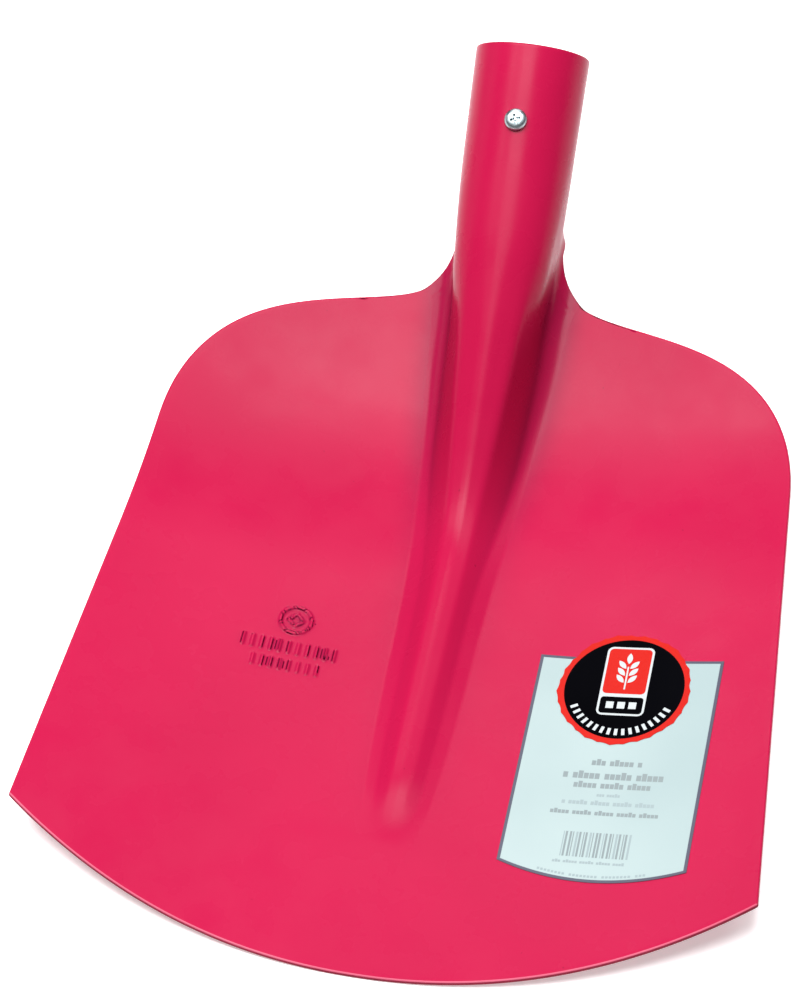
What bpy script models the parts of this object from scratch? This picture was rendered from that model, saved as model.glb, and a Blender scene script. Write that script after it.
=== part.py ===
"""Head of a grain scoop shovel: one steel pressing with a rolled socket, its seam weld,
the handle screw, and the two stickers on the blade.

The blade lies on its back, +Y points from the cutting edge to the socket, +Z is up.
Lengths below are millimetres, angles are radians unless the name says degrees.
"""
import math

import bmesh
import bpy
from mathutils import Matrix, Vector

MM = 0.001

# Frame: the middle of the length, and the underside of the sheet
MID_Y = 137.08
FLOOR_Z = 2.0

# Steel sheet
SHEET = 2.0

# Blade outline, measured from the line through the two cutting-edge corners
EDGE_HALF_WIDTH = 129.0
EDGE_BOW = 40.5
EDGE_POWER = 2.1
SHOULDER_HALF_WIDTH = 116.5
SHOULDER_Y = 167.0
SHOULDER_PULL_SIDE = 60.0
SHOULDER_PULL_NECK = 21.0
NECK_HALF_WIDTH = 30.0
NECK_Y = 233.5
NECK_ANGLE = 0.5

# Blade dish and heel
DISH_AT = 135.0
DISH_FRONT = 17.7
DISH_GAIN = 0.042
HEEL_START = 120.0
HEEL_RISE = 22.2

# Stiffening rib
RIB_START = 12.0
RIB_RUN_OUT = 28.0
RIB_HEIGHT = 2.6
RIB_SLOPE = 0.042
RIB_BEND = 5.0
RIB_WIDTH_START = 10.0
RIB_WIDTH_GAIN = 6.5
RIB_WIDTH_RUN = 36.0
RIB_FLARE_Y = 130.0
RIB_FLARE_BEND = 15.0
RIB_FLARE = 0.11
RIB_WIDTH_LIMIT = 0.9
NECK_LIFT = 3.1
NECK_LIFT_Y = 190.0
NECK_LIFT_RUN = 50.0

# Rib section: how far it is turned down, by share of its developed half width.
# Low on the blade it is a pressed rib, and at the neck it turns into the round socket.
ROOF_END, ROOF_TURN = 0.075, 0.37
BROW_START, BROW_RUN = 0.18, 0.17
TOE_LOW, TOE_HIGH, TOE_RUN = 0.56, 0.78, 0.13
GENTLE_LOW, GENTLE_HIGH = 0.55, 0.45
CREASE_START = 0.90
ROUND_TOP, ROUND_FOOT = 0.52, 0.72
STEEP_FROM_Y, STEEP_RUN = 110.0, 70.0
ROUND_FROM_Y, ROUND_RUN = 198.0, 37.0

# Socket, a slightly conical tube
SOCKET_Y = 215.0
SOCKET_Z = 32.7
SOCKET_LIFT = 0.595
SOCKET_LENGTH = 106.0
SOCKET_RADIUS_LOW = 19.5
SOCKET_RADIUS_MOUTH = 21.2
SEAM_GAP = 0.8
CLOSE_START = 235.0
CLOSE_END = 276.0
SEAM_FROM_Y, SEAM_RUN = 246.0, 26.0

# Handle screw, a pan-head tapping screw through the front of the socket
SCREW_STATION = 77.5
SCREW_SHANK = 2.25
SCREW_HOLE = 2.6
SCREW_LENGTH = 20.0
SCREW_HEAD_RADIUS = 4.1
SCREW_HEAD_HEIGHT = 2.4
SCREW_SEAT_GAP = 0.3
SCREW_TIP_BLUNT, SCREW_TIP_TAPER = 0.3, 4.0
HEAD_RIM_CHAMFER, HEAD_RIM_RISE = 0.15, 0.5
HEAD_CROWN = ((0.12, 1.2), (0.65, 0.5), (1.5, 0.12), (2.46, 0.02))
RECESS_TURN = 0.35
RECESS_LENGTH, RECESS_WIDTH, RECESS_DEPTH = 3.9, 0.95, 1.4
DRILL_LENGTH = 12.0

# Seam weld
WELD_HALF_WIDTH = 2.2
WELD_HEIGHT = 1.2
WELD_GAP = 0.3
WELD_FROM = 52.0
WELD_TO = 101.0
WELD_END_SIZE = 0.55
WELD_SIDE_SHARE = 0.25

# Stickers
STICKER_GAP = 0.3
LABEL_X, LABEL_Y = 71.0, 54.7
LABEL_WIDTH, LABEL_HEIGHT, LABEL_THICK = 65.0, 86.5, 0.25
LABEL_BOW = 6.0
SEAL_X, SEAL_Y = 70.3, 85.2
SEAL_RADIUS, SEAL_SCALLOP, SEAL_TEETH, SEAL_THICK = 23.3, 0.6, 32, 0.25

# Mesh steps
ACROSS = 18
RIB_COLUMNS = 12
SIDE_ROWS = 13
SHOULDER_ROWS = 13
SHOULDER_SHARE = 0.97
SHOULDER_MIDDLE_Y = 150.0
NECK_MIDDLE_Y = 232.0
FILLET_ROWS = 5
FILLET_END = 249.0
FILLET_PULL = 7.0
FILLET_LEAD = 4.2
NECK_TRIM = 8.0
NECK_ROWS = 5
SOCKET_ROWS = 4
WELD_ROWS, WELD_TOP_STEPS, WELD_FOOT_STEPS = 14, 8, 4
ROUND_SEGMENTS = 24
LABEL_ACROSS, LABEL_ALONG = 8, 10
SEAL_RINGS = (0.33, 0.66, 1.0)

# Numeric steps
STEP = 1.0
SECTION_STEPS = 40
HALVINGS = 26
STEEPEST = 1.56
WIDEST_REACH = 220.0
TINY = 1e-9
RIM_CATCH = 0.2


def smooth(value):
    value = min(max(value, 0.0), 1.0)
    return value * value * (3.0 - 2.0 * value)


def soft_ramp(value, softness):
    """A ramp that is 0 below 0 and follows the value above it, with a rounded bend."""
    return max(value, 0.0) + softness * math.log1p(math.exp(-abs(value) / softness))


# ---------------------------------------------------------------- the pressed sheet

def blade_height(x, y):
    dish = DISH_FRONT + DISH_GAIN * y
    heel = HEEL_RISE * (max(0.0, y - HEEL_START) / 100.0) ** 2
    return dish * (x / DISH_AT) ** 2 + heel


def wing_slope(x, y):
    return math.atan(2.0 * (DISH_FRONT + DISH_GAIN * y) * x / DISH_AT ** 2)


def socket_axis():
    return Vector((0.0, math.cos(SOCKET_LIFT), math.sin(SOCKET_LIFT)))


def socket_front():
    return Vector((0.0, -math.sin(SOCKET_LIFT), math.cos(SOCKET_LIFT)))


def socket_radius(station):
    return SOCKET_RADIUS_LOW + (SOCKET_RADIUS_MOUTH - SOCKET_RADIUS_LOW) * station / SOCKET_LENGTH


def socket_point(turn, station, lift=0.0):
    """Point of the socket's outer face; turn 0 is its front line, pi its seam."""
    radius = socket_radius(station) + lift
    side = Vector((math.sin(turn), 0.0, 0.0)) + math.cos(turn) * socket_front()
    return Vector((0.0, SOCKET_Y, SOCKET_Z)) + station * socket_axis() + radius * side


def socket_station(turn, y):
    """Distance along the socket at which the line at this turn passes a given y."""
    grow = (SOCKET_RADIUS_MOUTH - SOCKET_RADIUS_LOW) / SOCKET_LENGTH
    lean = math.cos(turn) * math.sin(SOCKET_LIFT)
    return (y - SOCKET_Y + SOCKET_RADIUS_LOW * lean) / (math.cos(SOCKET_LIFT) - grow * lean)


def crest_height(y):
    """Height of the line that runs up the rib and on along the front of the socket."""
    front = socket_point(0.0, socket_station(0.0, y))
    rib = (RIB_HEIGHT + RIB_SLOPE * (y - RIB_START)) * smooth((y - RIB_START) / RIB_RUN_OUT)
    return rib + soft_ramp(front.z - rib, RIB_BEND)


def rib_half_width(y):
    run = max(0.0, y - RIB_START) / RIB_WIDTH_RUN
    width = RIB_WIDTH_START + RIB_WIDTH_GAIN * (1.0 - math.exp(-run))
    return width + RIB_FLARE * soft_ramp(y - RIB_FLARE_Y, RIB_FLARE_BEND)


def pressed_flank(share, y):
    """Turn of the pressed rib: a low roof, a steep flank, a gentle toe and a crease at the foot."""
    steep = smooth((y - STEEP_FROM_Y) / STEEP_RUN)
    toe = TOE_LOW + (TOE_HIGH - TOE_LOW) * steep
    gentle = GENTLE_LOW + (GENTLE_HIGH - GENTLE_LOW) * steep
    turn = ROOF_TURN * smooth(share / ROOF_END)
    turn += (1.0 - ROOF_TURN) * smooth((share - BROW_START) / BROW_RUN)
    turn -= (1.0 - gentle) * smooth((share - toe) / TOE_RUN)
    return turn - gentle * smooth((share - CREASE_START) / (1.0 - CREASE_START))


def flank(share, y):
    """How far the rib's flank is turned down, 0 to 1, from crest to foot."""
    rounding = smooth((y - ROUND_FROM_Y) / ROUND_RUN)
    if share < ROUND_TOP:
        rolled = share / ROUND_TOP
    else:
        rolled = 1.0 - smooth((share - ROUND_FOOT) / (1.0 - ROUND_FOOT))
    return pressed_flank(share, y) * (1.0 - rounding) + rolled * rounding


def foot_fade(share):
    """Share of the wing's own slope that the rib's section has taken on."""
    return smooth(2.0 * share - 1.0)


def rib_section(y):
    """Steepest angle and developed half width of the rib at y, and the wing's slope at its foot."""
    width = rib_half_width(y)
    lift = NECK_LIFT * smooth((y - NECK_LIFT_Y) / NECK_LIFT_RUN)
    drop = crest_height(y) - blade_height(width, y) - lift
    slope = wing_slope(width, y)
    shares = [(i + 0.5) / SECTION_STEPS for i in range(SECTION_STEPS)]
    shape = [(flank(share, y), slope * foot_fade(share)) for share in shares]
    low, high = 0.0, STEEPEST
    for _ in range(HALVINGS):
        angle = 0.5 * (low + high)
        turns = [angle * down - fade for down, fade in shape]
        run = sum(math.cos(turn) for turn in turns)
        fall = sum(math.sin(turn) for turn in turns)
        if width * fall / run < drop:
            low = angle
        else:
            high = angle
    return angle, width * SECTION_STEPS / run, slope


def pressed_point(reach, y, section=None):
    """Point at a developed distance from the crest, on the open pressing."""
    angle, span, slope = section or rib_section(y)
    x, z, done = 0.0, crest_height(y), 0.0
    while done < reach - TINY:
        step = min(STEP, reach - done)
        middle = done + 0.5 * step
        if middle < span:
            share = middle / span
            turn = angle * flank(share, y) - slope * foot_fade(share)
        else:
            turn = -wing_slope(x, y)
        x += step * math.cos(turn)
        z -= step * math.sin(turn)
        done += step
    return Vector((x, y, z))


def rolled_length(y):
    """Half the way round the closed socket, in the upright plane at y."""
    radius = socket_radius(socket_station(0.5 * math.pi, y))
    return 0.5 * math.pi * radius * (1.0 + 1.0 / math.cos(SOCKET_LIFT))


def sheet_point(reach, y):
    closing = smooth((y - CLOSE_START) / (CLOSE_END - CLOSE_START))
    point = pressed_point(reach, y)
    if closing > 0.0:
        turn = min(math.pi, math.pi * reach / rolled_length(y))
        rolled = socket_point(turn, socket_station(turn, y))
        point = point.lerp(rolled, closing)
    return point


def reach_of(x, y):
    """Developed distance from the crest at which the open pressing gets to x."""
    section = rib_section(y)
    low, high = 0.0, WIDEST_REACH
    for _ in range(HALVINGS):
        reach = 0.5 * (low + high)
        if pressed_point(reach, y, section).x < x:
            low = reach
        else:
            high = reach
    return reach


def bezier(points, t):
    a, b, c, d = (Vector(p) for p in points)
    s = 1.0 - t
    return s ** 3 * a + 3 * s * s * t * b + 3 * s * t * t * c + t ** 3 * d


def neck_reach(y):
    """Developed half width of the neck, from its narrow foot up to the closed seam."""
    radius = socket_radius(socket_station(math.pi, y))
    closed = rolled_length(y) * (1.0 - 0.5 * SEAM_GAP / (math.pi * radius))
    foot = reach_of(NECK_HALF_WIDTH, NECK_Y) - NECK_TRIM
    return foot + (closed - foot) * smooth((y - SEAM_FROM_Y) / SEAM_RUN)


def blade_rows():
    """Rows of the sheet from the cutting edge to the end of the neck.

    Each row is (y in the middle, developed half width, y at the side).
    """
    rows = []
    corner = Vector((EDGE_HALF_WIDTH, 0.0))
    shoulder = Vector((SHOULDER_HALF_WIDTH, SHOULDER_Y))
    for i in range(SIDE_ROWS):
        t = i / SIDE_ROWS
        point = corner.lerp(shoulder, t)
        middle = (SHOULDER_MIDDLE_Y + EDGE_BOW) * t - EDGE_BOW
        rows.append((middle, reach_of(point.x, point.y), point.y))

    neck = Vector((NECK_HALF_WIDTH, NECK_Y))
    pull = shoulder + SHOULDER_PULL_SIDE * (shoulder - corner).normalized()
    lead = neck + SHOULDER_PULL_NECK * Vector((math.cos(NECK_ANGLE), -math.sin(NECK_ANGLE)))
    span = NECK_MIDDLE_Y - SHOULDER_MIDDLE_Y
    for i in range(SHOULDER_ROWS + 1):
        t = i / SHOULDER_ROWS
        point = bezier((shoulder, pull, lead, neck), SHOULDER_SHARE * t)
        rows.append((SHOULDER_MIDDLE_Y + span * t, reach_of(point.x, point.y), point.y))

    start = Vector((rows[-1][1], rows[-1][2]))
    along = (start - Vector((rows[-2][1], rows[-2][2]))).normalized()
    end = Vector((neck_reach(FILLET_END), FILLET_END))
    handles = (start, start + FILLET_LEAD * along, end - Vector((0.0, FILLET_PULL)), end)
    for i in range(1, FILLET_ROWS + 1):
        t = i / FILLET_ROWS
        point = bezier(handles, t)
        rows.append((NECK_MIDDLE_Y + (FILLET_END - NECK_MIDDLE_Y) * t, point.x, point.y))

    for i in range(1, NECK_ROWS + 1):
        y = FILLET_END + (CLOSE_END - FILLET_END) * i / NECK_ROWS
        rows.append((y, neck_reach(y), y))
    return rows


def sheet_grid():
    """Outer face of the whole pressing, row by row, for x >= 0."""
    grid = []
    for middle, width, side in blade_rows():
        even = width * RIB_COLUMNS / ACROSS
        closing = smooth((middle - CLOSE_START) / (CLOSE_END - CLOSE_START))
        foot = min(rib_section(middle)[1], RIB_WIDTH_LIMIT * width)
        foot += (even - foot) * closing
        row = []
        for i in range(ACROSS + 1):
            reach = foot * i / RIB_COLUMNS
            if i > RIB_COLUMNS:
                reach = foot + (width - foot) * (i - RIB_COLUMNS) / (ACROSS - RIB_COLUMNS)
            y = side + (middle - side) * (1.0 - (reach / width) ** EDGE_POWER)
            row.append(sheet_point(reach, y))
        grid.append(row)
    last = math.pi * neck_reach(CLOSE_END) / rolled_length(CLOSE_END)
    for j in range(1, SOCKET_ROWS + 1):
        row = []
        for i in range(ACROSS + 1):
            turn = last * i / ACROSS
            start = socket_station(turn, CLOSE_END)
            row.append(socket_point(turn, start + (SOCKET_LENGTH - start) * j / SOCKET_ROWS))
        grid.append(row)
    return grid


# ---------------------------------------------------------------- objects

def material(name, colour, roughness, metallic=0.0):
    made = bpy.data.materials.new(name)
    made.use_nodes = True
    shader = made.node_tree.nodes["Principled BSDF"]
    shader.inputs["Base Color"].default_value = (*colour, 1.0)
    shader.inputs["Roughness"].default_value = roughness
    shader.inputs["Metallic"].default_value = metallic
    made.diffuse_color = (*colour, 1.0)
    return made


def add_object(name, mesh, skin, frame):
    thing = bpy.data.objects.new(name, mesh)
    bpy.context.scene.collection.objects.link(thing)
    thing.data.materials.append(skin)
    thing.parent = frame
    return thing


def mesh_from(bm, name):
    bmesh.ops.recalc_face_normals(bm, faces=bm.faces)
    mesh = bpy.data.meshes.new(name)
    bm.to_mesh(mesh)
    bm.free()
    return mesh


def loft(bm, rows, closed=False):
    """Join rows of equal length with quads."""
    made = [[bm.verts.new(p * MM) for p in row] for row in rows]
    for low, high in zip(made, made[1:]):
        count = len(low) if closed else len(low) - 1
        for i in range(count):
            k = (i + 1) % len(low)
            bm.faces.new((low[i], low[k], high[k], high[i]))
    return made


def bake(thing):
    """Turn an object's modifiers into its mesh."""
    graph = bpy.context.evaluated_depsgraph_get()
    mesh = bpy.data.meshes.new_from_object(thing.evaluated_get(graph))
    thing.modifiers.clear()
    thing.data = mesh


def cut(thing, tool):
    """Cut a tool out of an object, then drop the tool."""
    boolean = thing.modifiers.new("cut", "BOOLEAN")
    boolean.operation = "DIFFERENCE"
    boolean.solver = "EXACT"
    boolean.object = tool
    bpy.context.view_layer.update()
    bake(thing)
    bpy.data.objects.remove(tool)


def screw_frame():
    """Seat of the screw: where its axis meets the socket's front line, and its turned axes."""
    seat = socket_point(0.0, SCREW_STATION)
    out = socket_front()
    across = Vector((1.0, 0.0, 0.0))
    turn = Matrix((across, out.cross(across), out)).transposed().to_4x4()
    return Matrix.Translation(seat * MM) @ turn


def build_sheet(frame):
    bm = bmesh.new()
    right = sheet_grid()
    rows = []
    for row in right:
        left = [Vector((-p.x, p.y, p.z)) for p in row[:0:-1]]
        rows.append(left + row)
    loft(bm, rows)
    mesh = mesh_from(bm, "blade_and_socket")
    if mesh.polygons[len(mesh.polygons) // 3].normal.z < 0.0:
        mesh.flip_normals()
    paint = material("red_paint", (0.80, 0.03, 0.11), 0.34)
    sheet = add_object("blade_and_socket", mesh, paint, frame)
    wall = sheet.modifiers.new("sheet", "SOLIDIFY")
    wall.thickness = SHEET * MM
    wall.offset = -1.0
    wall.use_even_offset = True
    bpy.context.view_layer.update()
    bake(sheet)
    mouth = Vector((0.0, SOCKET_Y, SOCKET_Z)) * MM + SOCKET_LENGTH * MM * socket_axis()
    for corner in sheet.data.vertices:
        past = (corner.co - mouth).dot(socket_axis())
        if abs(past) < RIM_CATCH * MM:
            corner.co -= past * socket_axis()

    bm = bmesh.new()
    bmesh.ops.create_cone(bm, cap_ends=True, segments=ROUND_SEGMENTS, depth=DRILL_LENGTH * MM,
                          radius1=SCREW_HOLE * MM, radius2=SCREW_HOLE * MM)
    drill = add_object("drill", mesh_from(bm, "drill"), paint, frame)
    drill.matrix_basis = screw_frame()
    bpy.context.view_layer.update()
    cut(sheet, drill)
    return sheet


def weld_row(station, size):
    """One section of the bead: its rounded top, then its foot."""
    radius = socket_radius(station)
    row = []
    for k in range(WELD_TOP_STEPS + 1):
        side = 2.0 * k / WELD_TOP_STEPS - 1.0
        swell = WELD_SIDE_SHARE + (1.0 - WELD_SIDE_SHARE) * math.sqrt(1.0 - side * side)
        turn = math.pi - size * WELD_HALF_WIDTH * side / radius
        row.append(socket_point(turn, station, WELD_GAP + WELD_HEIGHT * size * swell))
    for k in range(WELD_FOOT_STEPS + 1):
        side = 1.0 - 2.0 * k / WELD_FOOT_STEPS
        turn = math.pi - size * WELD_HALF_WIDTH * side / radius
        row.append(socket_point(turn, station, WELD_GAP))
    return row


def build_weld(frame):
    """Low rounded bead along the outside of the seam."""
    rows = []
    for j in range(WELD_ROWS + 1):
        station = WELD_FROM + (WELD_TO - WELD_FROM) * j / WELD_ROWS
        size = WELD_END_SIZE if j in (0, WELD_ROWS) else 1.0
        rows.append(weld_row(station, size))
    bm = bmesh.new()
    made = loft(bm, rows, closed=True)
    bm.faces.new(made[0])
    bm.faces.new(made[-1])
    paint = material("weld_paint", (0.70, 0.03, 0.10), 0.4)
    return add_object("socket_seam_weld", mesh_from(bm, "socket_seam_weld"), paint, frame)


def revolve(bm, profile, segments):
    """Solid of revolution about Z from (radius, height) points that start and end on the axis."""
    rings = []
    for radius, height in profile[1:-1]:
        ring = []
        for k in range(segments):
            turn = 2.0 * math.pi * k / segments
            ring.append(Vector((radius * math.cos(turn), radius * math.sin(turn), height)))
        rings.append(ring)
    made = loft(bm, rings, closed=True)
    for ring, (_, height) in ((made[0], profile[0]), (made[-1], profile[-1])):
        tip = bm.verts.new(Vector((0.0, 0.0, height)) * MM)
        for k in range(segments):
            bm.faces.new((ring[k], ring[(k + 1) % segments], tip))


def screw_profile():
    """(radius, height) of the screw from its tip to the crown of its head."""
    seat = SCREW_SEAT_GAP
    top = seat + SCREW_HEAD_HEIGHT
    rim = SCREW_HEAD_RADIUS
    blunt = (SCREW_TIP_BLUNT, SCREW_TIP_BLUNT - SCREW_LENGTH)
    tip = [(0.0, -SCREW_LENGTH), blunt, (SCREW_SHANK, SCREW_TIP_TAPER - SCREW_LENGTH)]
    under = [(SCREW_SHANK, seat), (rim - HEAD_RIM_CHAMFER, seat), (rim, seat + HEAD_RIM_RISE)]
    crown = [(rim - inset, top - depth) for inset, depth in HEAD_CROWN]
    return tip + under + crown + [(0.0, top)]


def build_screw(frame):
    bm = bmesh.new()
    revolve(bm, screw_profile(), ROUND_SEGMENTS)
    steel = material("zinc_plated_steel", (0.62, 0.66, 0.72), 0.28, 1.0)
    screw = add_object("handle_screw", mesh_from(bm, "handle_screw"), steel, frame)
    screw.matrix_basis = screw_frame()

    top = SCREW_SEAT_GAP + SCREW_HEAD_HEIGHT
    size = Vector((RECESS_LENGTH, RECESS_WIDTH, 2.0 * RECESS_DEPTH)) * MM
    for turn in (0.0, 0.5 * math.pi):
        bm = bmesh.new()
        slot = bmesh.ops.create_cube(bm, size=1.0)["verts"]
        bmesh.ops.scale(bm, verts=slot, vec=size)
        bmesh.ops.translate(bm, verts=slot, vec=Vector((0.0, 0.0, top)) * MM)
        bmesh.ops.rotate(bm, verts=slot, matrix=Matrix.Rotation(turn + RECESS_TURN, 3, "Z"))
        driver = add_object("driver", mesh_from(bm, "driver"), steel, frame)
        driver.matrix_basis = screw_frame()
        bpy.context.view_layer.update()
        cut(screw, driver)
    return screw


def on_blade(x, y, lift):
    """Point at a small height above the blade's upper face."""
    slope = math.tan(wing_slope(x, y))
    normal = Vector((-slope, 0.0, 1.0)).normalized()
    return Vector((x, y, blade_height(x, y))) + lift * normal


def close_rim(bm, low, high):
    """Join two closed loops of the same length with a band of quads."""
    for k in range(len(low)):
        n = (k + 1) % len(low)
        bm.faces.new((low[k], low[n], high[n], high[k]))


def label_rows(lift):
    """Points of the label's sheet: straight sides and top, bowed foot."""
    rows = []
    for j in range(LABEL_ALONG + 1):
        row = []
        for i in range(LABEL_ACROSS + 1):
            side = 2.0 * i / LABEL_ACROSS - 1.0
            foot = -0.5 * LABEL_HEIGHT - LABEL_BOW * (1.0 - side * side)
            y = foot + (0.5 * LABEL_HEIGHT - foot) * j / LABEL_ALONG
            row.append(on_blade(LABEL_X + 0.5 * LABEL_WIDTH * side, LABEL_Y + y, lift))
        rows.append(row)
    return rows


def grid_rim(grid):
    """The edge of a grid of vertices, once round."""
    right = [row[-1] for row in grid[1:-1]]
    left = [row[0] for row in grid[-2:0:-1]]
    return grid[0] + right + grid[-1][::-1] + left


def build_label(frame):
    bm = bmesh.new()
    low = loft(bm, label_rows(STICKER_GAP))
    high = loft(bm, label_rows(STICKER_GAP + LABEL_THICK))
    close_rim(bm, grid_rim(low), grid_rim(high))
    paper = material("label_paper", (0.62, 0.75, 0.75), 0.45)
    return add_object("product_label", mesh_from(bm, "product_label"), paper, frame)


def seal_ring(share, lift):
    """One ring of the seal's sheet; the outermost one is scalloped."""
    ring = []
    for k in range(3 * SEAL_TEETH):
        turn = 2.0 * math.pi * k / (3 * SEAL_TEETH)
        wave = SEAL_SCALLOP * math.cos(SEAL_TEETH * turn) if share == 1.0 else 0.0
        radius = share * SEAL_RADIUS + wave
        ring.append(on_blade(SEAL_X + radius * math.cos(turn), SEAL_Y + radius * math.sin(turn), lift))
    return ring


def build_seal(frame):
    foot = STICKER_GAP + LABEL_THICK + STICKER_GAP
    bm = bmesh.new()
    rims = []
    for lift in (foot, foot + SEAL_THICK):
        made = loft(bm, [seal_ring(share, lift) for share in SEAL_RINGS], closed=True)
        middle = bm.verts.new(on_blade(SEAL_X, SEAL_Y, lift) * MM)
        for k in range(len(made[0])):
            bm.faces.new((made[0][k], made[0][(k + 1) % len(made[0])], middle))
        rims.append(made[-1])
    close_rim(bm, rims[0], rims[1])
    ink = material("seal_print", (0.02, 0.02, 0.02), 0.4)
    return add_object("quality_seal", mesh_from(bm, "quality_seal"), ink, frame)


def build():
    for thing in list(bpy.data.objects):
        bpy.data.objects.remove(thing)
    frame = bpy.data.objects.new("shovel_frame", None)
    bpy.context.scene.collection.objects.link(frame)
    frame.location = Vector((0.0, -MID_Y, FLOOR_Z)) * MM
    build_sheet(frame)
    build_weld(frame)
    build_screw(frame)
    build_label(frame)
    build_seal(frame)


build()
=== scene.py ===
"""Grain scoop shovel head on a pale studio floor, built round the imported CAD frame.

Shapes are worked out in millimetres, in the blade's own axes: x across, y from the line through
the cutting-edge corners towards the socket, z up from the blade's upper face. to_frame() turns
them into the frame's metres.
"""
import math

import bmesh
import bpy
import numpy as np
from mathutils import Matrix, Vector


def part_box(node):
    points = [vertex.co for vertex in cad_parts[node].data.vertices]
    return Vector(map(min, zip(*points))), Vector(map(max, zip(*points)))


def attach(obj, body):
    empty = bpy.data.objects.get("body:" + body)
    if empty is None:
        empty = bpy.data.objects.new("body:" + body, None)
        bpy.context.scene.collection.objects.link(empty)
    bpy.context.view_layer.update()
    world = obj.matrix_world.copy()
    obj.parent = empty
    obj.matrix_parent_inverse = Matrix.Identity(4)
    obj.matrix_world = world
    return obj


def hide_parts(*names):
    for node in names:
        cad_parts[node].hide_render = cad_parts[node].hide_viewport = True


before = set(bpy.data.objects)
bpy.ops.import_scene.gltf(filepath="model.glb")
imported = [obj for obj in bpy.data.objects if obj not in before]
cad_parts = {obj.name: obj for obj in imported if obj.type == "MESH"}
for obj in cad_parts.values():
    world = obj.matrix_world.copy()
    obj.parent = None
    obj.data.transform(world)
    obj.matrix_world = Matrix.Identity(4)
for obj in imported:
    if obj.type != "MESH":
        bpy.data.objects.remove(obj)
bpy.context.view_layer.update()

# ---------------------------------------------------------------- driving dimensions, mm

SHEET = 2.0

# outline of the blade, from the cutting edge to the neck
EDGE_HALF_WIDTH = 129.0
EDGE_BOW = 40.5
EDGE_POWER = 2.1
SHOULDER = (116.5, 167.0)
SHOULDER_PULLS = (60.0, 21.0)
SHOULDER_SHARE = 0.97
SHOULDER_MIDDLE_Y = 150.0
NECK = (30.0, 233.5)
NECK_ANGLE = 0.5
NECK_MIDDLE_Y = 232.0
NECK_TRIM = 8.0
FILLET_END = 249.0
FILLET_PULL = 7.0
FILLET_LEAD = 4.2

# dish of the blade and heel under the neck
DISH_AT = 135.0
DISH_FRONT = 17.7
DISH_GAIN = 0.042
HEEL_START = 120.0
HEEL_RUN = 100.0
HEEL_RISE = 22.2

# rib: crest, half width and lift towards the neck
RIB_START = 12.0
RIB_RUN_OUT = 28.0
RIB_HEIGHT = 2.6
RIB_SLOPE = 0.042
RIB_BEND = 5.0
RIB_WIDTH_START = 10.0
RIB_WIDTH_GAIN = 6.5
RIB_WIDTH_RUN = 36.0
RIB_FLARE_Y = 130.0
RIB_FLARE_BEND = 15.0
RIB_FLARE = 0.11
RIB_WIDTH_LIMIT = 0.9
NECK_LIFT = 3.1
NECK_LIFT_Y, NECK_LIFT_RUN = 190.0, 50.0

# the rib's flank, by share of its developed half width from crest to foot
ROOF_END, ROOF_TURN = 0.075, 0.37
BROW_START, BROW_RUN, BROW_TURN = 0.18, 0.17, 0.63
TOE_LOW, TOE_GAIN, TOE_RUN = 0.56, 0.22, 0.13
GENTLE_LOW, GENTLE_LOSS = 0.55, 0.10
CREASE_START, CREASE_RUN = 0.90, 0.10
ROUND_TOP, ROUND_FOOT, ROUND_FOOT_RUN = 0.52, 0.72, 0.28
STEEP_FROM_Y, STEEP_RUN = 110.0, 70.0
ROUND_FROM_Y, ROUND_RUN = 198.0, 37.0

# socket, and where the sheet closes round it
SOCKET_Y = 215.0
SOCKET_Z = 32.7
SOCKET_LIFT = 0.595
SOCKET_LENGTH = 106.0
SOCKET_RADII = (19.5, 21.2)
SEAM_GAP = 0.8
CLOSE_START = 235.0
CLOSE_END = 276.0
SEAM_FROM_Y, SEAM_RUN = 246.0, 26.0

# seam weld: bead, and the ripples and sways of its run
WELD_FROM, WELD_TO, WELD_TAPER = 52.0, 101.0, 3.0
WELD_HALF_WIDTH, WELD_HEIGHT = 2.1, 1.15
WELD_END_SIZE = 0.02
WELD_SINK, WELD_FOOT = 0.1, -0.5
RIPPLE_PITCH, RIPPLE_BOW, RIPPLE_HEIGHT, RIPPLE_WIDTH = 1.55, 1.1, 0.10, 0.08
WELD_SWAYS = ((0.25, 0.31, 0.0), (0.15, 0.83, 1.0))

# screw: heights are from its seat, positive outwards
SCREW_STATION = 77.5
SCREW_HOLE = 2.6
SCREW_LENGTH = 20.0
SCREW_POINT, SCREW_TIP, SCREW_TAPER = 0.15, -19.85, 4.2
SCREW_CORE, SCREW_TIP_SHARE = 1.62, 0.05
THREAD_TOP, THREAD_STEP = -0.6, 0.07
THREAD_PITCH, THREAD_DEPTH, THREAD_HALF_SHARE, THREAD_AT_TIP = 1.8, 0.62, 0.28, 0.35
SCREW_HEAD_RADIUS = 4.1
SCREW_HEAD_HEIGHT = 2.4
SCREW_SEAT_GAP = 0.3
HEAD_SINK = 0.15
HEAD_NECK_LOW, HEAD_NECK_RADII = -0.5, (1.75, 1.9)
HEAD_RIM = ((0.0, 0.25), (0.08, 0.08), (0.25, 0.0), (0.75, 0.02))
HEAD_CROWN_RISE, HEAD_CROWN_POWER, HEAD_CROWN_STEPS = 0.75, 0.62, 15
RECESS_TURN = 0.35
RECESS_DEPTH, RECESS_OVER = 1.5, 0.6
RECESS_LENGTHS, RECESS_WIDTHS = (4.3, 2.6), (0.95, 0.62)
DRILL_LENGTH = 12.0

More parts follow.
